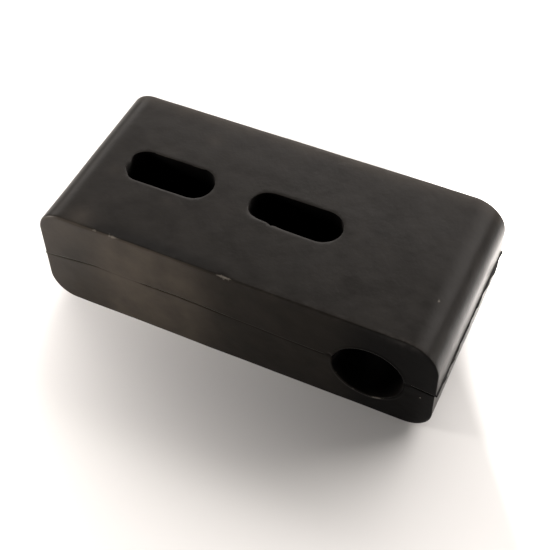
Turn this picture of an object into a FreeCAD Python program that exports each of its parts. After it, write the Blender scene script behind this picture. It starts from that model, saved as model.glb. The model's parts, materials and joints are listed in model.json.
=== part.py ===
import FreeCAD, Part

import math
import os

import Sketcher

# A moulded rubber buffer block: one piece of solid rubber with rounded ends, two slots in line
# through its height for the screws that hold it down, and a round bore through its depth near
# the nose, which lets the nose give when it is struck.
#
# Frame, in millimetres: the origin is at the centre of the flat base, +Z is up, +X runs along
# the block from the heel to the nose, and the bore runs along Y.

SHEET = "sizes"

SIZES = {
    "block_length": 60.5,
    "block_depth": 27.7,
    "block_height": 17.8,
    "heel_radius": 4.0,
    "nose_top_radius": 5.2,
    "nose_base_radius": 4.0,
    "rim_radius": 0.4,
    "slot_length": 14.0,
    "slot_width": 5.9,
    "slot_spacing": 19.9,
    "slot_from_heel": 14.0,
    "bore_radius": 5.0,
    "bore_from_nose": 9.6,
    "bore_height": 8.1,
}

# Points of a sketch's geometry, as the Sketcher numbers them.
START, END, CENTRE = 1, 2, 3
H_AXIS = -1
ORIGIN = (-1, 1)

TOLERANCE = 1e-4
VOLUME_TOLERANCE = 0.001


def add_sheet(doc):
    """Put the driving dimensions into the document's spreadsheet, one named cell each."""
    sheet = doc.addObject("Spreadsheet::Sheet", SHEET)
    for row, (name, value) in enumerate(SIZES.items(), start=1):
        sheet.set(f"A{row}", name)
        sheet.set(f"B{row}", str(value))
        sheet.setAlias(f"B{row}", name)
    doc.recompute()


def add_sketch(body, name, plane_role):
    """Start a sketch on one of the body's own origin planes."""
    sketch = body.newObject("Sketcher::SketchObject", name)
    plane = next(item for item in body.Origin.OriginFeatures if item.Role == plane_role)
    sketch.AttachmentSupport = (plane, "")
    sketch.MapMode = "FlatFace"
    return sketch


def constrain(sketch, kind, *places):
    """Add a constraint that has no size of its own."""
    return sketch.addConstraint(Sketcher.Constraint(kind, *places))


def dimension(sketch, name, expression, kind, *places, value):
    """Add a named dimension, start it at value and drive it from the spreadsheet."""
    index = sketch.addConstraint(Sketcher.Constraint(kind, *places, value))
    sketch.renameConstraint(index, name)
    sketch.setExpression(f"Constraints.{name}", expression)


def line(sketch, start, end):
    return sketch.addGeometry(Part.LineSegment(FreeCAD.Vector(*start, 0), FreeCAD.Vector(*end, 0)), False)


def draw_footprint(sketch):
    """A rectangle centred on the origin: the block seen from above."""
    half_length = SIZES["block_length"] / 2
    half_depth = SIZES["block_depth"] / 2
    corners = [
        (-half_length, -half_depth),
        (half_length, -half_depth),
        (half_length, half_depth),
        (-half_length, half_depth),
    ]
    sides = [line(sketch, corners[i], corners[(i + 1) % 4]) for i in range(4)]
    for side, following in zip(sides, sides[1:] + sides[:1]):
        constrain(sketch, "Coincident", side, END, following, START)
    for side in sides[0::2]:
        constrain(sketch, "Horizontal", side)
    for side in sides[1::2]:
        constrain(sketch, "Vertical", side)
    constrain(sketch, "Symmetric", sides[0], START, sides[1], END, *ORIGIN)
    dimension(sketch, "length", f"{SHEET}.block_length", "DistanceX", sides[0], START, sides[0], END,
              value=2 * half_length)
    dimension(sketch, "depth", f"{SHEET}.block_depth", "DistanceY", sides[1], START, sides[1], END,
              value=2 * half_depth)


def draw_slot(sketch):
    """The slot nearer the heel: two parallel sides joined by half circles."""
    radius = SIZES["slot_width"] / 2
    reach = SIZES["slot_length"] / 2 - radius
    middle = SIZES["slot_from_heel"] - SIZES["block_length"] / 2
    quarter_turn = math.pi / 2
    up = FreeCAD.Vector(0, 0, 1)
    heel_circle = Part.Circle(FreeCAD.Vector(middle - reach, 0, 0), up, radius)
    nose_circle = Part.Circle(FreeCAD.Vector(middle + reach, 0, 0), up, radius)
    heel_end = sketch.addGeometry(Part.ArcOfCircle(heel_circle, quarter_turn, 3 * quarter_turn), False)
    near_side = line(sketch, (middle - reach, -radius), (middle + reach, -radius))
    nose_end = sketch.addGeometry(Part.ArcOfCircle(nose_circle, -quarter_turn, quarter_turn), False)
    far_side = line(sketch, (middle + reach, radius), (middle - reach, radius))
    outline = [heel_end, near_side, nose_end, far_side]
    for piece, following in zip(outline, outline[1:] + outline[:1]):
        constrain(sketch, "Tangent", piece, END, following, START)
    constrain(sketch, "PointOnObject", heel_end, CENTRE, H_AXIS)
    constrain(sketch, "Horizontal", near_side)
    dimension(sketch, "end_radius", f"{SHEET}.slot_width / 2", "Radius", heel_end, value=radius)
    dimension(sketch, "side_length", f"{SHEET}.slot_length - {SHEET}.slot_width", "DistanceX",
              heel_end, CENTRE, nose_end, CENTRE, value=2 * reach)
    slot_middle = f"{SHEET}.slot_from_heel - {SHEET}.block_length / 2"
    slot_reach = f"({SHEET}.slot_length - {SHEET}.slot_width) / 2"
    dimension(sketch, "place", f"{slot_middle} - {slot_reach}", "DistanceX",
              *ORIGIN, heel_end, CENTRE, value=middle - reach)


def draw_bore(sketch):
    """The bore's circle, seen from the front."""
    along = SIZES["block_length"] / 2 - SIZES["bore_from_nose"]
    centre = FreeCAD.Vector(along, SIZES["bore_height"], 0)
    circle = sketch.addGeometry(Part.Circle(centre, FreeCAD.Vector(0, 0, 1), SIZES["bore_radius"]), False)
    dimension(sketch, "radius", f"{SHEET}.bore_radius", "Radius", circle, value=SIZES["bore_radius"])
    dimension(sketch, "along", f"{SHEET}.block_length / 2 - {SHEET}.bore_from_nose", "DistanceX",
              *ORIGIN, circle, CENTRE, value=along)
    dimension(sketch, "up", f"{SHEET}.bore_height", "DistanceY", *ORIGIN, circle, CENTRE,
              value=SIZES["bore_height"])


def end_edges(shape, nose, top):
    """The names of the straight edges along Y at one end of the block, at its top or its base."""
    x = SIZES["block_length"] / 2 * (1 if nose else -1)
    z = SIZES["block_height"] if top else 0
    names = []
    for number, edge in enumerate(shape.Edges, start=1):
        middle = edge.CenterOfMass
        if abs(middle.x - x) < TOLERANCE and abs(middle.z - z) < TOLERANCE:
            names.append(f"Edge{number}")
    return names


def rim_edges(shape):
    """The names of the edges round the two long faces, without the bore's mouths."""
    half_depth = SIZES["block_depth"] / 2
    names = []
    for number, edge in enumerate(shape.Edges, start=1):
        box = edge.BoundBox
        flat = box.YLength < TOLERANCE and abs(abs(box.YMin) - half_depth) < TOLERANCE
        if flat and not edge.isClosed():
            names.append(f"Edge{number}")
    return names


def add_fillet(body, name, edges, expression):
    """Round the named edges of the body's last feature."""
    base = body.Tip
    fillet = body.newObject("PartDesign::Fillet", name)
    fillet.Base = (base, edges)
    fillet.setExpression("Radius", expression)
    body.Document.recompute()


def add_block(body):
    sketch = add_sketch(body, "footprint", "XY_Plane")
    draw_footprint(sketch)
    block = body.newObject("PartDesign::Pad", "block")
    block.Profile = sketch
    block.setExpression("Length", f"{SHEET}.block_height")
    body.Document.recompute()


def round_ends(body):
    """Round the four edges at the heel and the nose."""
    tip = body.Tip.Shape
    heel = end_edges(tip, nose=False, top=True) + end_edges(tip, nose=False, top=False)
    add_fillet(body, "heel_rounding", heel, f"{SHEET}.heel_radius")
    nose_top = end_edges(body.Tip.Shape, nose=True, top=True)
    add_fillet(body, "nose_top_rounding", nose_top, f"{SHEET}.nose_top_radius")
    nose_base = end_edges(body.Tip.Shape, nose=True, top=False)
    add_fillet(body, "nose_base_rounding", nose_base, f"{SHEET}.nose_base_radius")


def cut_slots(body):
    """Cut one slot through the height, and repeat it towards the nose."""
    sketch = add_sketch(body, "slot_outline", "XY_Plane")
    draw_slot(sketch)
    slot = body.newObject("PartDesign::Pocket", "slot")
    slot.Profile = sketch
    slot.Type = "ThroughAll"
    slot.Reversed = True
    body.Document.recompute()
    pair = body.newObject("PartDesign::LinearPattern", "slot_pair")
    pair.Originals = [slot]
    pair.Direction = (sketch, ["H_Axis"])
    pair.setExpression("Length", f"{SHEET}.slot_spacing")
    pair.Occurrences = 2
    body.Tip = pair
    body.Document.recompute()


def cut_bore(body):
    """Bore the block through its depth, both ways from its middle."""
    sketch = add_sketch(body, "bore_outline", "XZ_Plane")
    draw_bore(sketch)
    bore = body.newObject("PartDesign::Pocket", "bore")
    bore.Profile = sketch
    bore.Type = "ThroughAll"
    bore.SideType = "Symmetric"
    body.Document.recompute()


def build_rubber_block(doc):
    body = doc.addObject("PartDesign::Body", "rubber_block")
    body.Label = "rubber_block"
    add_block(body)
    round_ends(body)
    solid_volume = body.Shape.Volume
    cut_slots(body)
    slotted_volume = body.Shape.Volume
    cut_bore(body)
    bored_volume = body.Shape.Volume
    add_fillet(body, "rim_rounding", rim_edges(body.Tip.Shape), f"{SHEET}.rim_radius")
    check_cuts(solid_volume, slotted_volume, bored_volume)
    return body


def check_cuts(solid_volume, slotted_volume, bored_volume):
    """Compare what each cut took away with the volume of the hole that it makes."""
    width = SIZES["slot_width"]
    slot_area = math.pi * width ** 2 / 4 + width * (SIZES["slot_length"] - width)
    bore_area = math.pi * SIZES["bore_radius"] ** 2
    expect("slots", solid_volume - slotted_volume, 2 * slot_area * SIZES["block_height"])
    expect("bore", slotted_volume - bored_volume, bore_area * SIZES["block_depth"])


def expect(what, found, wanted):
    if abs(found - wanted) > VOLUME_TOLERANCE * wanted:
        raise RuntimeError(f"{what}: {found:.1f} cubic mm were cut, not {wanted:.1f}")


def check_document(doc, sub_parts):
    """Stop if any feature failed, or if a sub-part isn't one sound solid."""
    for item in doc.Objects:
        if "Invalid" in item.State or "Error" in item.State:
            raise RuntimeError(f"{item.Label} failed: {item.State}")
    for item in sub_parts:
        if item.Shape.isNull() or not item.Shape.isValid() or len(item.Shape.Solids) != 1:
            raise RuntimeError(f"{item.Label} is not one valid solid")


def main():
    doc = FreeCAD.newDocument("rubber_buffer_block")
    add_sheet(doc)
    sub_parts = [build_rubber_block(doc)]
    doc.recompute()
    check_document(doc, sub_parts)
    os.makedirs("parts", exist_ok=True)
    for item in sub_parts:
        item.Shape.exportStep(f"parts/{item.Label}.step")
        box = item.Shape.optimalBoundingBox(False)
        print(f"{item.Label}: {box.XLength:.2f} x {box.YLength:.2f} x {box.ZLength:.2f} mm,"
              f" {item.Shape.Volume:.0f} cubic mm")


main()
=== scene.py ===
import json
import math

import bmesh
import bpy
import numpy as np
from mathutils import Matrix, Vector, noise
from mathutils.geometry import delaunay_2d_cdt


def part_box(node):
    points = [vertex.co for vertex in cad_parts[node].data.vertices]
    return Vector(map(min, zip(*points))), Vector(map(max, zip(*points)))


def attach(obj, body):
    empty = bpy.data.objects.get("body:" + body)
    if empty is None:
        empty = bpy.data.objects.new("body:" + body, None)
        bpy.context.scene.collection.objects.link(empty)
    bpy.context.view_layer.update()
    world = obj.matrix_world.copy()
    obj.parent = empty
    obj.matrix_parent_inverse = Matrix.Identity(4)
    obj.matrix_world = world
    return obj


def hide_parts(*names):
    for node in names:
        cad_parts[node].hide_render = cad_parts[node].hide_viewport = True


# A moulded rubber buffer block. The one visible piece stands for the CAD solid and lies on it to
# about a tenth of a millimetre, except where moulding left more: at the mouths of the slots and
# the bore, and at the ridge of the parting line. Handling left worn rims, nicks, scuffs and dust.
# The colour also holds painted light: painted shade in the slots, the bore and along the parting
# line, painted edge highlights on the rims, a painted highlight on the bore's lower lip, and a
# painted reflection in the dust film on the front and along the top's back edge.
#
# Shapes are worked out in millimetres in the row frame: +X from the heel to the nose, +Y along
# the bore, +Z up from the base.

MM = 0.001

HEEL_RADIUS = 4.0
NOSE_TOP_RADIUS = 5.2
NOSE_BASE_RADIUS = 4.0

FRONT, BACK = -1, 1

# How finely the surface is divided.
FLAT_STEP = 0.55
ARC_STEP_DEG = 5.0
ACROSS_COUNT = 50
GRID_STEP = 0.5
GRID_GAP = 0.3
ROW_SPACING = 0.866
RIM_TURNS = 5
SLOT_END_COUNT = 30
SLOT_SIDE_STEP = 0.4
BORE_COUNT = 120
MERGE_DIGITS = 4

# The mouths: how they are rounded, how far down their unevenness dies away, and how much wider
# and lower than a circle the bore's mouth is.
SLOT_MOUTH_RADIUS = 0.04
SLOT_FADE_DEPTH = 1.6
BORE_MOUTH_RADIUS = 0.08
BORE_FADE_DEPTH = 1.4
BORE_MOUTH_WIDER = 0.14
BORE_MOUTH_LOWER = 0.12
LIP_OFFSETS = (0.3, 0.37, 0.45, 0.55, 0.7, 0.9)

# The parting line along the front: where it changes, how high it runs there, and how plainly it
# shows, from 0 to 1. Round the two ends it keeps one height.
SEAM_LINE = (
    (-30.2, 8.5, 0.2),
    (-26.5, 9.0, 0.9),
    (-24.0, 9.4, 1.0),
    (-21.5, 9.7, 0.6),
    (-19.0, 9.6, 0.15),
    (-15.0, 9.5, 0.15),
    (-13.5, 9.5, 1.0),
    (-8.0, 9.6, 1.0),
    (-3.0, 9.4, 0.8),
    (0.0, 9.3, 0.3),
    (10.0, 9.0, 0.3),
    (15.0, 8.9, 0.6),
    (27.0, 8.9, 0.9),
    (30.2, 8.5, 1.0),
)
SEAM_PLACES, SEAM_HEIGHTS, SEAM_SHOWS = zip(*SEAM_LINE)
SEAM_END_HEIGHT = 8.5
SEAM_BACK_SHOWS = 0.5
SEAM_OFFSETS = (0.03, 0.09, 0.16, 0.25, 0.38, 0.56, 0.8)
SEAM_ROW_STEP = 0.3
SEAM_GAP = 0.12
SEAM_HALF_WIDTH = 0.085
SEAM_DEPTH = 0.13
SEAM_STEP = 0.035
HEEL_FLASH = 0.14
NOSE_FLASH = 0.36
FLASH_HALF_WIDTH = 0.14
NOSE_SET_BACK = 0.16

# Marks: the nick and the scrapes along the top front edge, by x, and a speck on the top, by x
# and y, and on the front, by x and z.
NICK_X = -0.6
SHORT_SCRAPE_X, LONG_SCRAPE_X = -20.6, -17.6
TOP_SPECK = (26.9, -5.7)
FRONT_SPECK = (28.25, 7.1)

# Colours. The dust colour also paints reflected light on the front and along the top's back edge,
# the worn colour also paints edge highlights, the scuffed colour also paints a highlight on the
# bore's lower lip, and the crease and hollow colours are painted shade.
DARK_RUBBER = (0.0018, 0.0017, 0.0016)
PALE_RUBBER = (0.0028, 0.0026, 0.0024)
DUST_AND_REFLECTION = (0.050, 0.0415, 0.0325)
WORN_RUBBER_AND_HIGHLIGHT = (0.05, 0.046, 0.042)
SCUFFED_RUBBER_AND_HIGHLIGHT = (0.16, 0.145, 0.125)
CREASE_SHADE = (0.0004, 0.0003, 0.0003)
HOLLOW_SHADE = (0.0006, 0.0005, 0.0005)

# The camera: what it looks at, in millimetres, and where it stands from there.
CAMERA_AIM = (2.32, -4.08, 8.86)
CAMERA_AZIMUTH, CAMERA_ELEVATION, CAMERA_ROLL = 26.46, 50.63, -1.58
CAMERA_DISTANCE = 161.36
SENSOR_WIDTH = 36.0
FOCAL_LENGTH = 73.77

# The floor, in metres: how far it reaches each way, and how far it lies below the base.
FLOOR_REACH = 0.8
FLOOR_DROP = 0.00002


def bell(value, half_width):
    return np.exp(-(value / half_width) ** 2)


def soft_step(value, width):
    return 1 / (1 + np.exp(-np.clip(value / width, -40, 40)))


class Skin:
    """The block's surface while it is built: points in millimetres, each kept once, and faces."""

    def __init__(self):
        self.points = []
        self.places = {}
        self.faces = []

    def point(self, place):
        key = tuple(round(float(value), MERGE_DIGITS) + 0.0 for value in place)
        if key not in self.places:
            self.places[key] = len(self.points)
            self.points.append(key)
        return self.places[key]

    def face(self, indices):
        if len(set(indices)) == len(indices):
            self.faces.append(indices)

    def band(self, rows, closed):
        """Join following rows of points, all of one length, with quads."""
        indices = [[self.point(place) for place in row] for row in rows]
        count = len(indices[0])
        for row, following in zip(indices, indices[1:]):
            for i in range(count if closed else count - 1):
                j = (i + 1) % count
                self.face((row[i], row[j], following[j], following[i]))


def inside(points, loop):
    """Which points of a plane lie inside a closed loop."""
    x, y = points[:, 0][:, None], points[:, 1][:, None]
    x0, y0 = loop[:, 0][None, :], loop[:, 1][None, :]
    x1, y1 = np.roll(loop[:, 0], -1)[None, :], np.roll(loop[:, 1], -1)[None, :]
    crosses = (y0 > y) != (y1 > y)
    rise = np.where(y1 == y0, 1.0, y1 - y0)
    left = x < (x1 - x0) * (y - y0) / rise + x0
    return (crosses & left).sum(axis=1) % 2 == 1


def clear_of(points, loops, gap):
    """Which points keep at least gap from every point of the loops."""
    others = np.vstack(loops)
    apart = np.hypot(points[:, None, 0] - others[None, :, 0], points[:, None, 1] - others[None, :, 1])
    return apart.min(axis=1) > gap


def on_face(points, loops, gap):
    """The points that lie on a face bounded by the first loop, outside its holes."""
    points = np.asarray(points, float)
    keep = inside(points, loops[0]) & clear_of(points, loops, gap)
    for hole in loops[1:]:
        keep &= ~inside(points, hole)
    return points[keep]


def fill(skin, loops, inner, lift):
    """Cover a flat face with triangles: the first loop bounds it and the others are its holes."""
    start, edges = 0, []
    for loop in loops:
        edges += [(start + i, start + (i + 1) % len(loop)) for i in range(len(loop))]
        start += len(loop)
    places = np.vstack([*loops, inner])
    found = delaunay_2d_cdt([Vector(place) for place in places], edges, [], 0, 1e-7)
    triangles, sources = found[2], found[3]
    plane = np.array([places[source[0]] for source in sources])
    triangles = np.array(triangles)
    middles = plane[triangles].mean(axis=1)
    keep = inside(middles, loops[0])
    for hole in loops[1:]:
        keep &= ~inside(middles, hole)
    indices = [skin.point(lift(*place)) for place in plane]
    for triangle in triangles[keep]:
        skin.face(tuple(indices[i] for i in triangle))


def lattice(low, high, step):
    """A staggered grid of points over a rectangle."""
    points = []
    rows = int((high[1] - low[1]) / (step * ROW_SPACING)) + 2
    for row in range(rows):
        y = low[1] + row * step * ROW_SPACING
        shift = step / 2 * (row % 2)
        points += [(x, y) for x in np.arange(low[0] + shift, high[0], step)]
    return np.array(points)


def arc_stations(centre, radius, start_deg, end_deg):
    """Stations round a corner of the side profile, the last one left out."""
    count = round(abs(end_deg - start_deg) / ARC_STEP_DEG)
    angles = np.radians(np.linspace(start_deg, end_deg, count + 1)[:-1])
    normals = np.stack([np.cos(angles), np.sin(angles)], axis=1)
    return np.asarray(centre) + radius * normals, normals


def straight_stations(start, end, normal):
    """Stations along a straight side of the profile, the last one left out."""
    count = round(math.dist(start, end) / FLAT_STEP)
    shares = np.linspace(0, 1, count + 1)[:-1, None]
    points = np.asarray(start) * (1 - shares) + np.asarray(end) * shares
    return points, np.tile(np.asarray(normal, float), (count, 1))


def end_stations(x, start_z, end_z, normal):
    """Stations up or down an end face, set close together at the parting line."""
    low, high = sorted((start_z, end_z))
    even = np.linspace(low, high, round((high - low) / FLAT_STEP) + 1)
    offsets = np.array(SEAM_OFFSETS)
    even = even[np.abs(even - SEAM_END_HEIGHT) > offsets[-1] + 0.1]
    heights = np.unique(np.concatenate([even, SEAM_END_HEIGHT + offsets, SEAM_END_HEIGHT - offsets]))
    if start_z > end_z:
        heights = heights[::-1]
    heights = heights[:-1]
    return (np.stack([np.full(len(heights), x), heights], axis=1),
            np.tile(np.asarray(normal, float), (len(heights), 1)))


def side_profile(size):
    """The outline of the block seen from the front, as stations with outward normals.

    The stations run along the base to the nose, up, back along the top and down the heel.
    Returned with them is the index at which each stretch starts.
    """
    half, height = size["length"] / 2, size["height"]
    heel_x = -half + HEEL_RADIUS
    base_x = half - NOSE_BASE_RADIUS
    top_x = half - NOSE_TOP_RADIUS
    nose_top_z = height - NOSE_TOP_RADIUS
    heel_top_z = height - HEEL_RADIUS
    stretches = {
        "base": straight_stations((heel_x, 0), (base_x, 0), (0, -1)),
        "nose_base": arc_stations((base_x, NOSE_BASE_RADIUS), NOSE_BASE_RADIUS, -90, 0),
        "nose": end_stations(half, NOSE_BASE_RADIUS, nose_top_z, (1, 0)),
        "nose_top": arc_stations((top_x, nose_top_z), NOSE_TOP_RADIUS, 0, 90),
        "top": straight_stations((top_x, height), (heel_x, height), (0, 1)),
        "heel_top": arc_stations((heel_x, heel_top_z), HEEL_RADIUS, 90, 180),
        "heel": end_stations(-half, heel_top_z, HEEL_RADIUS, (-1, 0)),
        "heel_base": arc_stations((heel_x, HEEL_RADIUS), HEEL_RADIUS, 180, 270),
    }
    starts, count = {}, 0
    for name, (points, _) in stretches.items():
        starts[name] = count
        count += len(points)
    points = np.vstack([points for points, _ in stretches.values()])
    normals = np.vstack([normals for _, normals in stretches.values()])
    return points, normals, starts


def rim_radius(place, side, size):
    """How far the rim is rounded: tight at the nose, worn at the heel, tight along the base."""
    share = place[0] / size["length"] + 0.5
    top = place[1] / size["height"]
    worn = (1 - share) ** 1.5 * top
    wander = noise.noise(Vector((place[0] * 0.18, side * 7.0, place[1] * 0.18)))
    return 0.17 + 0.24 * worn + 0.05 * wander


def rim_rows(profile, side, size):
    """The rows of the rounded rim, from the surface round the block to the face at that side."""
    points, normals, _ = profile
    radii = np.array([rim_radius(place, side, size) for place in points])
    rows = []
    for turn in np.radians(np.linspace(0, 90, RIM_TURNS + 1)):
        place = points - normals * (radii * (1 - math.cos(turn)))[:, None]
        y = side * (size["depth"] / 2 - radii * (1 - math.sin(turn)))
        rows.append(np.stack([place[:, 0], y, place[:, 1]], axis=1))
    return rows


def across(front_point, back_point):
    """A row of points across the block at one station."""
    y = np.linspace(front_point[1], back_point[1], ACROSS_COUNT + 1)
    return [(front_point[0], value, front_point[2]) for value in y]


def slot_outline(middle, length, width, offset, fade):
    """A slot's outline seen from above, widened by offset.

    fade is 1 at the mouth in the top, where the moulding is uneven, and 0 further down.
    """
    radius = width / 2
    reach = length / 2 - radius
    side_count = round(2 * reach / SLOT_SIDE_STEP)
    points = []
    for end, start_deg in ((1, 0), (-1, 180)):
        angles = np.radians(np.linspace(-90, 90, SLOT_END_COUNT + 1)[:-1] + start_deg)
        for angle in angles:
            normal = np.array([math.cos(angle), math.sin(angle)])
            points.append(((end * reach, 0.0), normal))
        for share in np.linspace(0, 1, side_count + 1)[:-1]:
            points.append(((end * reach * (1 - 2 * share), 0.0), np.array([0.0, float(end)])))
    loop = []
    for centre, normal in points:
        place = np.array([middle + centre[0], centre[1]]) + normal * radius
        uneven = slot_unevenness(place, normal, middle) * fade
        loop.append(place + normal * (offset + uneven))
    return np.array(loop)


def slot_unevenness(place, normal, middle):
    """How far the mouth of a slot stands out from its true outline, in millimetres."""
    wander = 0.05 * noise.noise(Vector((place[0] * 0.35, place[1] * 0.35, 3.0)))
    if middle < 0:
        return wander + heel_slot_shape(normal)
    return wander + middle_slot_shape(place, normal)


def heel_slot_shape(normal):
    """The heel slot's mouth: flattened at its heel end, with a small corner towards the front."""
    turn = math.degrees(math.atan2(normal[1], -normal[0]))
    flat = -0.54 * bell(turn - 2, 21)
    front_flat = -0.27 * bell(turn + 40, 27)
    corner = 0.1 * bell(turn + 29, 5)
    widening = 0.07 * (abs(turn) > 90 or normal[1] < -0.9)
    return flat + front_flat + corner + widening


def middle_slot_shape(place, normal):
    """The middle slot's mouth: wide at its nose end, and narrow up to a nick in its front side."""
    nose_end = 0.19 * bell(math.degrees(math.atan2(normal[1], normal[0])) + 18, 45)
    if normal[1] > -0.5:
        return nose_end - 0.11 * bell(normal[1] - 1, 0.2)
    narrow = -0.40 * soft_step(1.8 - place[0], 0.75) * soft_step(place[0] + 2.2, 0.4)
    nick = 0.24 * bell(place[0] - 1.2, 0.32)
    return nose_end + narrow + nick


def slot_fade(height, size):
    """1 at the mouth in the top, dying away over a few millimetres downwards."""
    return math.exp(-(size["height"] - height) / SLOT_FADE_DEPTH)


def slot_wall(skin, slot, size):
    """The wall of one slot with its rounded mouths. Returns its outlines in the top and base."""
    middle, length, width = slot
    mouth = SLOT_MOUTH_RADIUS
    height = size["height"]
    rows = []
    for turn in np.radians(np.linspace(0, 90, 4)):
        rows.append((height - mouth * (1 - math.cos(turn)), mouth * (1 - math.sin(turn))))
    for below in (0.03, 0.1, 0.3):
        rows.append((height - mouth - below, 0.0))
    for z in np.linspace(height - mouth, mouth, 22)[1:-1]:
        rows.append((z, 0.0))
    for turn in np.radians(np.linspace(90, 0, 4)):
        rows.append((mouth * (1 - math.cos(turn)), mouth * (1 - math.sin(turn))))
    loops = [slot_outline(middle, length, width, offset, slot_fade(z, size)) for z, offset in rows]
    skin.band([[(x, y, z) for x, y in loop] for loop, (z, _) in zip(loops, rows)], closed=True)
    return loops[0], loops[-1]


def bore_outline(bore, offset, depth):
    """The bore's outline at some depth from either mouth, widened by offset."""
    x, z, radius = bore
    fade = math.exp(-depth / BORE_FADE_DEPTH)
    wide, high = radius + BORE_MOUTH_WIDER * fade, radius - BORE_MOUTH_LOWER * fade
    angles = np.radians(np.linspace(0, 360, BORE_COUNT + 1)[:-1])
    ragged = np.array([0.03 * noise.noise(Vector((math.cos(a) * 2.5, math.sin(a) * 2.5, 9.0)))
                       for a in angles])
    turn = np.degrees(angles)
    heel_bulge = 0.24 * bell(turn - 190, 30)
    seam_notch = 0.2 * bell(turn - 171, 4)
    uneven = (ragged + heel_bulge + seam_notch) * fade
    return np.stack([x + (wide + offset + uneven) * np.cos(angles),
                     z + (high + offset + uneven) * np.sin(angles)], axis=1)


def bore_wall(skin, bore, size):
    """The wall of the bore with its rounded mouths."""
    mouth = BORE_MOUTH_RADIUS
    half = size["depth"] / 2
    rows = []
    for turn in np.radians(np.linspace(0, 90, 6)):
        rows.append((mouth * (1 - math.cos(turn)), mouth * (1 - math.sin(turn))))
    for depth in np.linspace(mouth, half, 18)[1:]:
        rows.append((depth, 0.0))
    loops = [(depth, bore_outline(bore, offset, depth)) for depth, offset in rows]
    front = [[(x, depth - half, z) for x, z in loop] for depth, loop in loops]
    back = [[(x, half - depth, z) for x, z in loop] for depth, loop in loops[:-1]]
    skin.band(front + back[::-1], closed=True)
    return loops[0][1]


def seam_height(x):
    return np.interp(x, SEAM_PLACES, SEAM_HEIGHTS)


def seam_rows(size):
    """Rows of points that follow the parting line along a side face."""
    reach = size["length"] / 2 - 0.4
    x = np.arange(-reach, reach, SEAM_ROW_STEP)
    offsets = sorted([-offset for offset in SEAM_OFFSETS] + list(SEAM_OFFSETS))
    return np.array([(place, seam_height(place) + offset) for offset in offsets for place in x])


def side_face(skin, loop, mouth, bore, side, size):
    """A long side face, with the bore's mouth in it and rows along the parting line.

    The points lie closer together round the bore's mouth and at the speck.
    """
    grid = lattice((-size["length"] / 2, 0), (size["length"] / 2, size["height"]), GRID_STEP)
    grid = grid[np.abs(grid[:, 1] - seam_height(grid[:, 0])) > SEAM_OFFSETS[-1] + 0.2]
    lip = [bore_outline(bore, offset, 0) for offset in LIP_OFFSETS]
    loops = [loop, mouth]
    grid = grid[~inside(grid, bore_outline(bore, LIP_OFFSETS[-1] + 0.2, 0))]
    rows = seam_rows(size)
    rows = rows[~inside(rows, bore_outline(bore, LIP_OFFSETS[-1] + 0.1, 0))]
    x, z = FRONT_SPECK
    speck = lattice((x - 0.4, z - 0.4), (x + 0.4, z + 0.4), 0.13)
    inner = np.vstack([on_face(grid, loops, GRID_GAP), on_face(rows, loops, SEAM_GAP), speck, *lip])
    y = side * size["depth"] / 2
    fill(skin, loops, inner, lambda x, z: (x, y, z))


def level_face(skin, rows, holes, z, size):
    """The top or the base: rows are its first and last rows of stations, front and back."""
    front, back, first, last = rows
    loop = [(p[0], p[1]) for p in front]
    loop += [(p[0], p[1]) for p in last[1:-1]]
    loop += [(p[0], p[1]) for p in back[::-1]]
    loop += [(p[0], p[1]) for p in first[::-1][1:-1]]
    loops = [np.array(loop), *holes]
    half = size["length"] / 2, size["depth"] / 2
    grid = lattice((-half[0], -half[1]), half, GRID_STEP)
    fill(skin, loops, on_face(grid, loops, GRID_GAP), lambda x, y: (x, y, z))


def build_skin(size, slots, bore):
    """The whole closed surface, before any unevenness."""
    skin = Skin()
    profile = side_profile(size)
    starts = profile[2]
    front = rim_rows(profile, FRONT, size)
    back = rim_rows(profile, BACK, size)
    skin.band(front, closed=True)
    skin.band(back, closed=True)
    surface = [across(a, b) for a, b in zip(front[0], back[0])]
    skin.band(surface[starts["nose_base"]:starts["top"] + 1], closed=False)
    skin.band(surface[starts["heel_top"]:] + surface[:1], closed=False)
    walls = [slot_wall(skin, slot, size) for slot in slots]
    mouth = bore_wall(skin, bore, size)
    for name, following, z, holes in (
        ("top", "heel_top", size["height"], [top for top, _ in walls]),
        ("base", "nose_base", 0.0, [base for _, base in walls]),
    ):
        stretch = slice(starts[name], starts[following] + 1)
        rows = front[0][stretch], back[0][stretch], surface[stretch][0], surface[stretch][-1]
        level_face(skin, rows, holes, z, size)
    side_face(skin, front[-1][:, [0, 2]], mouth, bore, FRONT, size)
    side_face(skin, back[-1][:, [0, 2]], mouth, bore, BACK, size)
    return skin


def make_mesh(skin, name):
    """A mesh of the skin, its faces turned outwards, checked to be closed."""
    mesh = bpy.data.meshes.new(name)
    mesh.from_pydata(skin.points, [], skin.faces)
    shape = bmesh.new()
    shape.from_mesh(mesh)
    bmesh.ops.recalc_face_normals(shape, faces=shape.faces)
    open_edges = [edge for edge in shape.edges if len(edge.link_faces) != 2]
    if open_edges:
        places = sorted({tuple(round(v, 2) for v in edge.verts[0].co) for edge in open_edges})
        raise RuntimeError(f"{name}: {len(open_edges)} edges are open, at {places[:12]}")
    shape.to_mesh(mesh)
    shape.free()
    mesh.shade_smooth()
    return mesh


def noise_field(points, scale, seed, octaves=3):
    """Smooth noise at points, in about -1 to 1."""
    shift = Vector((seed * 13.7, seed * 5.1, seed * 9.3))
    return np.array([noise.fractal(Vector(p) * scale + shift, 1.0, 2.0, octaves) for p in points])


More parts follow.
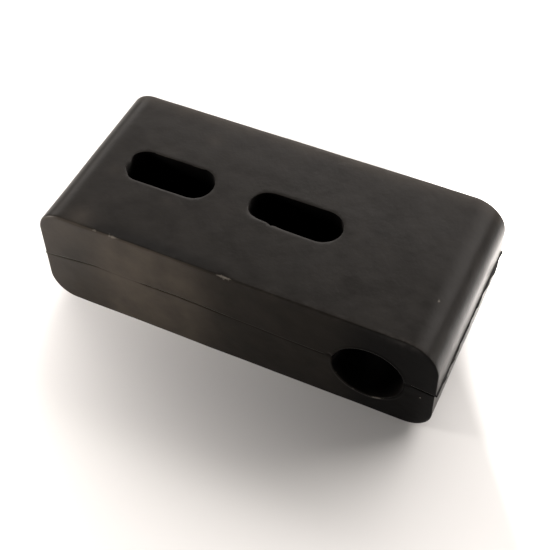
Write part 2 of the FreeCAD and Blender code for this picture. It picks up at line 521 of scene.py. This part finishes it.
def seam_shape(points, normals, size):
    """Where the parting line runs: (displacement, painted shade along it), for every point."""
    x, y, z = points.T
    half = size["length"] / 2
    flat_side = np.abs(normals[:, 1]) > 0.9
    at_side = flat_side & (np.abs(y) > size["depth"] / 2 - 0.3)
    below = seam_height(x) - z
    shows = np.interp(x, SEAM_PLACES, SEAM_SHOWS)
    shows = np.where(y < 0, shows, SEAM_BACK_SHOWS)
    groove = bell(below, SEAM_HALF_WIDTH) * shows
    step = SEAM_STEP * soft_step(below, 0.05) * bell(np.maximum(below, 0), 1.2) * shows
    moved = np.where(at_side, step - SEAM_DEPTH * groove, 0.0)
    at_end = (np.abs(x) > half - 0.3) & (np.abs(normals[:, 0]) > 0.6)
    ragged = 0.9 + 0.35 * noise_field(points * (0, 1, 0), 0.7, 4)
    bump = 0.5 * bell(y - 9.5, 2.0) * (x > 0)
    flash_height = np.where(x > 0, NOSE_FLASH, HEEL_FLASH)
    flash = bell(z - SEAM_END_HEIGHT, FLASH_HALF_WIDTH) * flash_height * (ragged + bump)
    below_end = soft_step(SEAM_END_HEIGHT - z, 0.05) * np.clip(z / NOSE_BASE_RADIUS, 0, 1)
    facing_out = np.clip(normals[:, 0], 0, 1) * (x > half - NOSE_BASE_RADIUS)
    set_back = NOSE_SET_BACK * below_end * facing_out
    # Painted shade along the flash at both ends, and along the groove on the side faces.
    flash_shade = bell(z - SEAM_END_HEIGHT - 0.06, 0.2) * at_end * 0.95
    dark = np.maximum(np.where(at_side, bell(below + 0.04, 0.13) * shows, 0.0), flash_shade)
    return moved + np.where(at_end, flash, 0.0) - set_back, dark


def lip_shape(points, bore, size):
    """The thin raised lip round each mouth of the bore."""
    x, z, radius = bore
    along, up = points[:, 0] - x, points[:, 2] - z
    wide, high = radius + BORE_MOUTH_WIDER, radius - BORE_MOUTH_LOWER
    away = np.hypot(along / wide, up / high) * radius - radius
    turn = np.arctan2(up, along)
    uneven = 0.6 + 0.4 * np.cos(turn - math.radians(235)) ** 2
    at_mouth = np.abs(points[:, 1]) > size["depth"] / 2 - 0.28
    return np.where(at_mouth, 0.06 * bell(away - 0.3, 0.14) * uneven, 0.0)


def dent(points, place, reach, depth):
    """A small dent, or with a negative depth a small bump, that fades over reach."""
    away = np.linalg.norm((points - place) / reach, axis=1)
    return -depth * np.exp(-away ** 2)


def uneven_surface(mesh, slots, bore, size):
    """Move each point a little along its normal, and keep masks for the material."""
    count = len(mesh.vertices)
    points = np.zeros(count * 3)
    mesh.vertices.foreach_get("co", points)
    points = points.reshape(-1, 3)
    normals = np.zeros(count * 3)
    mesh.vertex_normals.foreach_get("vector", normals)
    normals = normals.reshape(-1, 3)
    seam, seam_shade = seam_shape(points, normals, size)
    wave = 0.045 * noise_field(points, 0.09, 1, 2) + 0.014 * noise_field(points, 0.45, 2)
    half_depth, height = size["depth"] / 2, size["height"]
    marks = dent(points, (NICK_X, -half_depth, height), (0.75, 0.3, 0.3), 0.16)
    marks += dent(points, (*TOP_SPECK, height), (0.25, 0.25, 0.4), -0.07)
    marks += dent(points, (FRONT_SPECK[0], -half_depth, FRONT_SPECK[1]), (0.16, 0.4, 0.16), -0.06)
    seam_pit = dent(points, (15.0, -half_depth, 9.2), (0.3, 0.4, 0.16), 0.14)
    marks += seam_pit
    moved = points + normals * (seam + wave + lip_shape(points, bore, size) + marks)[:, None]
    moved[:, 2] = np.maximum(moved[:, 2], 0.0)
    mesh.vertices.foreach_set("co", (moved * MM).ravel())
    # Painted shade along the parting line.
    keep_mask(mesh, "seam", seam_shade)
    # Painted shade in the slots and the bore.
    keep_mask(mesh, "hollow_shade", painted_hollow_shade(points, slots, bore, size))
    # Pale rims from rubbing, partly a painted edge highlight.
    keep_mask(mesh, "wear_and_highlight", edge_wear_and_highlight(points, size))
    # Scuffs and specks, and a painted highlight on the bore's lower lip.
    keep_mask(mesh, "scuff_and_highlight", scuffs_and_lip_highlight(points, bore, size))
    # Dust film, partly a painted reflection on the front and along the top's back edge.
    keep_mask(mesh, "dust_and_reflection", dust_and_painted_reflection(points, normals, size))
    mesh.update()


def keep_mask(mesh, name, values):
    mask = mesh.attributes.new(name, "FLOAT", "POINT")
    mask.data.foreach_set("value", np.clip(values, 0, 1).astype(np.float32))


def painted_hollow_shade(points, slots, bore, size):
    """1 on the walls of the slots and the bore: painted shade in these recesses."""
    x, y, z = points.T
    hollow_shade = np.zeros(len(points))
    from_level = np.minimum(size["height"] - z, z)
    for middle, length, width in slots:
        reach = (length - width) / 2
        away = np.hypot(x - np.clip(x, middle - reach, middle + reach), y)
        within = (away < width / 2 + 0.3) * soft_step(from_level - 0.012, 0.004)
        hollow_shade = np.maximum(hollow_shade, within)
    bore_x, bore_z, radius = bore
    away = np.hypot(x - bore_x, z - bore_z)
    within = (away < radius + 0.3) * soft_step(size["depth"] / 2 - np.abs(y) - 0.09, 0.02)
    return np.maximum(hollow_shade, within)


def edge_wear_and_highlight(points, size):
    """1 along the rims, where handling has rubbed the rubber pale, partly a painted edge highlight."""
    x, y, z = points.T
    to_side = size["depth"] / 2 - np.abs(y)
    to_top = size["height"] - z
    near_nose = 0.4 * bell(x - 25.5, 2.5) * (y < 0)
    return (0.14 + near_nose) * bell(to_side, 0.5) * bell(to_top, 1.0)


def scuffs_and_lip_highlight(points, bore, size):
    """Small pale marks: a nick and scrapes at the front edge, specks, and a painted highlight on
    the bore's lower lip.
    """
    x, y, z = points.T
    to_front = y + size["depth"] / 2
    to_top = size["height"] - z
    on_edge = bell(to_front, 0.4) * bell(to_top, 0.3)
    nick = bell(x - NICK_X, 1.0) * bell(to_front - 0.05, 0.22) * bell(to_top - 0.05, 0.26)
    scrapes = 0.65 * (bell(x - SHORT_SCRAPE_X, 0.5) + bell(x - LONG_SCRAPE_X, 1.3)) * on_edge
    speck = 0.8 * bell(np.hypot(x - TOP_SPECK[0], y - TOP_SPECK[1]), 0.28) * (to_top < 1)
    low_speck = bell(np.hypot(x - FRONT_SPECK[0], z - FRONT_SPECK[1]), 0.14) * (to_front < 0.3)
    # A painted highlight on the bore's lower lip.
    bore_x, bore_z, radius = bore
    turn = np.degrees(np.arctan2(z - bore_z, x - bore_x)) % 360
    away = np.hypot(x - bore_x, z - bore_z) - radius
    along_lip = 0.9 * bell(turn - 289, 12) + 0.5 * bell(turn - 196, 14) + 0.35 * bell(turn - 250, 30)
    painted_lip_highlight = bell(away - 0.16, 0.14) * along_lip * (to_front < 0.3)
    return np.clip(nick + scrapes + speck + low_speck + painted_lip_highlight, 0, 1)


def dust_and_painted_reflection(points, normals, size):
    """Where pale dust has settled, partly a painted reflection: most on the heel half of the front,
    so the front is lighter towards the heel and darker towards the nose, with a darker patch near
    the heel end, and little on the top, with a painted reflection along its back edge.
    """
    x, y, z = points.T
    heelward = (0.2 + 0.78 * soft_step(x + 19.5, 1.2)) * soft_step(-(x + 5.0), 1.9)
    darker_patch = 1 - 0.8 * bell(np.hypot(x + 25.3, (z - 9.5) * 0.6), 1.9)
    front = (heelward * darker_patch + 0.28 * soft_step(-(x - 17.5), 1.2)) * (normals[:, 1] < -0.5)
    wiped = 1 - 0.9 * bell(y + size["depth"] / 2 - 0.8, 1.3) * bell(x + 12.0, 10.0)
    upper = normals[:, 2] > 0.5
    # A painted reflection along the top's back edge.
    painted_back_edge_reflection = 0.35 * bell(y - size["depth"] / 2, 1.6)
    corner = 0.3 * bell(np.hypot(x + 23.6, y + 13.2), 2.2)
    smudges = 0.12 * bell(np.hypot(x + 23.9, y + 2.4), 1.0)
    smudges += 0.12 * bell(np.hypot(x + 13.6, y - 9.0), 1.3)
    smudges += 0.08 * bell(np.hypot(x + 14.2, y + 4.8), 0.7)
    return np.clip(front + upper * wiped * (0.10 + painted_back_edge_reflection + corner + smudges), 0, 1)


def add_node(tree, kind, inputs=None, **settings):
    """Add a node: settings are its own properties, and inputs its unlinked values."""
    node = tree.nodes.new(kind)
    for name, value in settings.items():
        setattr(node, name, value)
    for name, value in (inputs or {}).items():
        node.inputs[name].default_value = value
    return node


def add_noise(tree, place, scale, detail):
    node = add_node(tree, "ShaderNodeTexNoise", {"Scale": scale, "Detail": detail})
    tree.links.new(place, node.inputs["Vector"])
    return node.outputs["Fac"]


def add_range(tree, value, source, target):
    """Map a value from the source range to the target range."""
    node = add_node(tree, "ShaderNodeMapRange", {
        "From Min": source[0], "From Max": source[1], "To Min": target[0], "To Max": target[1],
    })
    tree.links.new(value, node.inputs["Value"])
    return node.outputs["Result"]


def add_math(tree, operation, first, second):
    node = add_node(tree, "ShaderNodeMath", operation=operation)
    for socket, value in zip(node.inputs, (first, second)):
        if isinstance(value, (int, float)):
            socket.default_value = value
        else:
            tree.links.new(value, socket)
    return node.outputs["Value"]


def add_mix(tree, factor, first, second):
    """Mix two colours, each a colour or another node's output."""
    node = add_node(tree, "ShaderNodeMix", data_type="RGBA")
    tree.links.new(factor, node.inputs["Factor"])
    for socket, value in ((node.inputs[6], first), (node.inputs[7], second)):
        if isinstance(value, tuple):
            socket.default_value = (*value, 1)
        else:
            tree.links.new(value, socket)
    return node.outputs[2]


def rubber_colour(tree, place, masks, dust_and_reflection_film, grain, speckle):
    """The rubber's colour, with its dust film, worn rims, scuffs, painted shade in the creases and
    hollows, and painted highlights and reflections.
    """
    broad = add_noise(tree, place, 90, 3)
    rubber = add_mix(tree, add_range(tree, broad, (0.35, 0.65), (0, 1)), DARK_RUBBER, PALE_RUBBER)
    # The dust film is partly a painted reflection: lighter towards the heel on the front and along the
    # top's back edge.
    dust_and_reflection_colour = add_mix(tree, dust_and_reflection_film, rubber, DUST_AND_REFLECTION)
    # Pale rims from rubbing, partly a painted edge highlight.
    rubbed_and_highlit = add_math(tree, "MULTIPLY", masks["wear_and_highlight"], add_range(tree, speckle, (0.4, 0.65), (0.3, 1)))
    worn = add_mix(tree, rubbed_and_highlit, dust_and_reflection_colour, WORN_RUBBER_AND_HIGHLIGHT)
    # Scuffs, and a painted highlight on the bore's lower lip.
    ragged = add_math(tree, "ADD", masks["scuff_and_highlight"], add_range(tree, grain, (0.3, 0.7), (-0.2, 0.2)))
    scuffed_and_highlit = add_mix(tree, add_range(tree, ragged, (0.3, 0.7), (0, 1)), worn, SCUFFED_RUBBER_AND_HIGHLIGHT)
    # Painted shade along the parting line.
    crease_shaded = add_mix(tree, masks["seam"], scuffed_and_highlit, CREASE_SHADE)
    # Painted shade in the slots and the bore.
    return add_mix(tree, masks["hollow_shade"], crease_shaded, HOLLOW_SHADE)


def rubber_roughness(tree, masks, dust_and_reflection_film, cloud):
    """How dull the rubber is: clouded, duller under the dust film and its painted reflection, and
    slightly duller in the hollows.
    """
    rough = add_range(tree, cloud, (0.3, 0.7), (0.28, 0.36))
    rough = add_math(tree, "ADD", rough, add_math(tree, "MULTIPLY", dust_and_reflection_film, 0.15))
    return add_math(tree, "MULTIPLY", rough, add_range(tree, masks["hollow_shade"], (0, 1), (1.0, 1.1)))


def rubber_bumps(tree, speckle, grain):
    """The fine grain of the moulded surface, as a normal."""
    coarse = add_node(tree, "ShaderNodeBump", {"Strength": 0.25, "Distance": 0.00006})
    tree.links.new(speckle, coarse.inputs["Height"])
    fine = add_node(tree, "ShaderNodeBump", {"Strength": 0.35, "Distance": 0.00002})
    tree.links.new(grain, fine.inputs["Height"])
    tree.links.new(coarse.outputs["Normal"], fine.inputs["Normal"])
    return fine.outputs["Normal"]


def rubber_material():
    """Black moulded rubber: matt, slightly mottled, dusty in places and pale where rubbed, with
    painted highlights, reflections and shade in its colour.
    """
    material = bpy.data.materials.new("black_rubber_moulded")
    material.use_nodes = True
    tree = material.node_tree
    shader = tree.nodes["Principled BSDF"]
    place = add_node(tree, "ShaderNodeTexCoord").outputs["Object"]
    masks = {name: add_node(tree, "ShaderNodeAttribute", attribute_name=name).outputs["Fac"]
             for name in ("seam", "hollow_shade", "wear_and_highlight", "scuff_and_highlight", "dust_and_reflection")}
    cloud = add_noise(tree, place, 320, 4)
    grain = add_noise(tree, place, 2600, 3)
    speckle = add_noise(tree, place, 1100, 2)
    dust_and_reflection_film = add_math(tree, "MULTIPLY", masks["dust_and_reflection"], add_range(tree, cloud, (0.3, 0.7), (0.6, 1.0)))
    colour = rubber_colour(tree, place, masks, dust_and_reflection_film, grain, speckle)
    tree.links.new(colour, shader.inputs["Base Color"])
    tree.links.new(rubber_roughness(tree, masks, dust_and_reflection_film, cloud), shader.inputs["Roughness"])
    tree.links.new(rubber_bumps(tree, speckle, grain), shader.inputs["Normal"])
    shader.inputs["Specular IOR Level"].default_value = 0.045
    shader.inputs["Sheen Weight"].default_value = 0.1
    shader.inputs["Sheen Roughness"].default_value = 0.3
    shader.inputs["Sheen Tint"].default_value = (1.0, 0.95, 0.9, 1)
    return material


def floor_material():
    material = bpy.data.materials.new("pale_floor")
    material.use_nodes = True
    tree = material.node_tree
    shader = tree.nodes["Principled BSDF"]
    place = add_node(tree, "ShaderNodeTexCoord").outputs["Object"]
    cloud = add_noise(tree, place, 8, 2)
    colour = add_mix(tree, cloud, (0.60, 0.60, 0.60), (0.62, 0.62, 0.615))
    tree.links.new(colour, shader.inputs["Base Color"])
    shader.inputs["Roughness"].default_value = 0.9
    shader.inputs["Specular IOR Level"].default_value = 0.0
    return material


def make_floor():
    """A large pale sheet for the block to stand on."""
    mesh = bpy.data.meshes.new("floor")
    reach = FLOOR_REACH
    corners = [(-reach, -reach, 0), (reach, -reach, 0), (reach, reach, 0), (-reach, reach, 0)]
    mesh.from_pydata(corners, [], [(0, 1, 2, 3)])
    mesh.materials.append(floor_material())
    floor = bpy.data.objects.new("floor", mesh)
    floor.location.z = -FLOOR_DROP
    bpy.context.scene.collection.objects.link(floor)


def around(azimuth, elevation, distance, aim):
    """A place at some distance from aim. Azimuth 0 is in front, towards -Y, and 90 towards +X."""
    azimuth, elevation = math.radians(azimuth), math.radians(elevation)
    level = math.cos(elevation)
    away = Vector((math.sin(azimuth) * level, -math.cos(azimuth) * level, math.sin(elevation)))
    return aim + away * distance


def add_area_light(name, azimuth, elevation, distance, width, height, energy, aim):
    """A soft, slightly warm rectangular light that faces aim."""
    light = bpy.data.lights.new(name, "AREA")
    light.shape = "RECTANGLE"
    light.size = width
    light.size_y = height
    light.energy = energy
    light.color = (1.0, 0.945, 0.905)
    lamp = bpy.data.objects.new(name, light)
    lamp.location = around(azimuth, elevation, distance, aim)
    lamp.visible_camera = False
    lamp.rotation_euler = (aim - lamp.location).to_track_quat("-Z", "Y").to_euler()
    bpy.context.scene.collection.objects.link(lamp)


def make_world():
    """A pale surround behind the floor, which gives only a little light of its own."""
    world = bpy.data.worlds.new("studio")
    world.use_nodes = True
    tree = world.node_tree
    background = tree.nodes["Background"]
    background.inputs["Color"].default_value = (1.0, 0.98, 0.96, 1)
    seen = add_node(tree, "ShaderNodeLightPath").outputs["Is Camera Ray"]
    strength = add_range(tree, seen, (0, 1), (0.02, 1.0))
    tree.links.new(strength, background.inputs["Strength"])
    bpy.context.scene.world = world


def make_light():
    """Soft studio light: sheets behind the block, at its ends and overhead, and two small lamps.

    One small lamp lights the heel from close by. The other faces the floor past the nose, away
    from the block, so that the rounded nose mirrors a bright floor.
    """
    middle = Vector((0, 0, 0.01))
    heel = Vector((-0.026, -0.012, 0.009))
    add_area_light("overhead", 206, 54, 1.1, 0.9, 0.7, 3.2, middle)
    add_area_light("back", 165, 31, 1.0, 1.5, 0.6, 34, middle)
    add_area_light("nose_low", 100, 7, 0.9, 0.8, 0.12, 4, middle)
    add_area_light("nose_high", 85, 25, 0.9, 0.7, 0.4, 0.8, middle)
    add_area_light("heel_back", 228, 26, 1.0, 0.9, 0.4, 8, middle)
    add_area_light("heel_near", -60, 18, 0.055, 0.02, 0.02, 0.08, heel)
    add_area_light("floor_beyond_nose", -55, 28, 0.065, 0.07, 0.03, 0.185, Vector((0.09, 0.04, 0)))


def make_camera():
    """The camera, in front of the block, above it and a little towards the nose."""
    data = bpy.data.cameras.new("camera")
    data.sensor_width = SENSOR_WIDTH
    data.lens = FOCAL_LENGTH
    data.clip_start = 0.01
    data.clip_end = 20
    camera = bpy.data.objects.new("camera", data)
    aim = Vector(CAMERA_AIM) * MM
    camera.location = around(CAMERA_AZIMUTH, CAMERA_ELEVATION, CAMERA_DISTANCE * MM, aim)
    facing = (aim - camera.location).to_track_quat("-Z", "Y").to_matrix().to_4x4()
    roll = Matrix.Rotation(math.radians(CAMERA_ROLL), 4, "Z")
    camera.matrix_world = Matrix.Translation(camera.location) @ facing @ roll
    bpy.context.scene.collection.objects.link(camera)
    bpy.context.scene.camera = camera


def find_mount(record, name):
    return next(mount for mount in record["mounts"] if mount["name"] == name)


def read_frame(frame):
    """The block's size, slots and bore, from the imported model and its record, in millimetres."""
    low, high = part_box("rubber_block")
    extent = (high - low) / MM
    size = {"length": extent.x, "depth": extent.y, "height": extent.z}
    pattern = find_mount(frame["record"], "hold_down_slots")
    centre = pattern["pos_m"][0] / MM
    half_spacing = pattern["dims"]["spacing_x_mm"] / 2
    length, width = pattern["dims"]["slot_length_mm"], 2 * pattern["dims"]["hole_r_mm"]
    slots = [(centre + side * half_spacing, length, width) for side in (-1, 1)]
    hole = find_mount(frame["record"], "cross_bore")
    bore = (hole["pos_m"][0] / MM, hole["pos_m"][2] / MM, hole["dims"]["r_mm"])
    return size, slots, bore


def make_block(frame):
    size, slots, bore = read_frame(frame)
    mesh = make_mesh(build_skin(size, slots, bore), "moulded_block")
    uneven_surface(mesh, slots, bore, size)
    mesh.materials.append(rubber_material())
    block = bpy.data.objects.new("moulded_block", mesh)
    bpy.context.scene.collection.objects.link(block)
    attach(block, "root")
    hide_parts("rubber_block")


with open("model.json") as file:
    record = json.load(file)
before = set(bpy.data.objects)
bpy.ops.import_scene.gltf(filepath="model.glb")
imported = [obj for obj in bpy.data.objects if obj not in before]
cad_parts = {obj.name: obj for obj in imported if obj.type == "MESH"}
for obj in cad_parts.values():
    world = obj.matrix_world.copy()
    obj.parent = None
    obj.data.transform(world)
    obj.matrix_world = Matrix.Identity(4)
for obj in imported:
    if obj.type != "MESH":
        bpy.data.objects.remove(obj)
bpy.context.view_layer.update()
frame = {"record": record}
make_floor()
make_world()
make_light()
make_camera()
make_block(frame)
bpy.context.scene.view_settings.view_transform = "Standard"
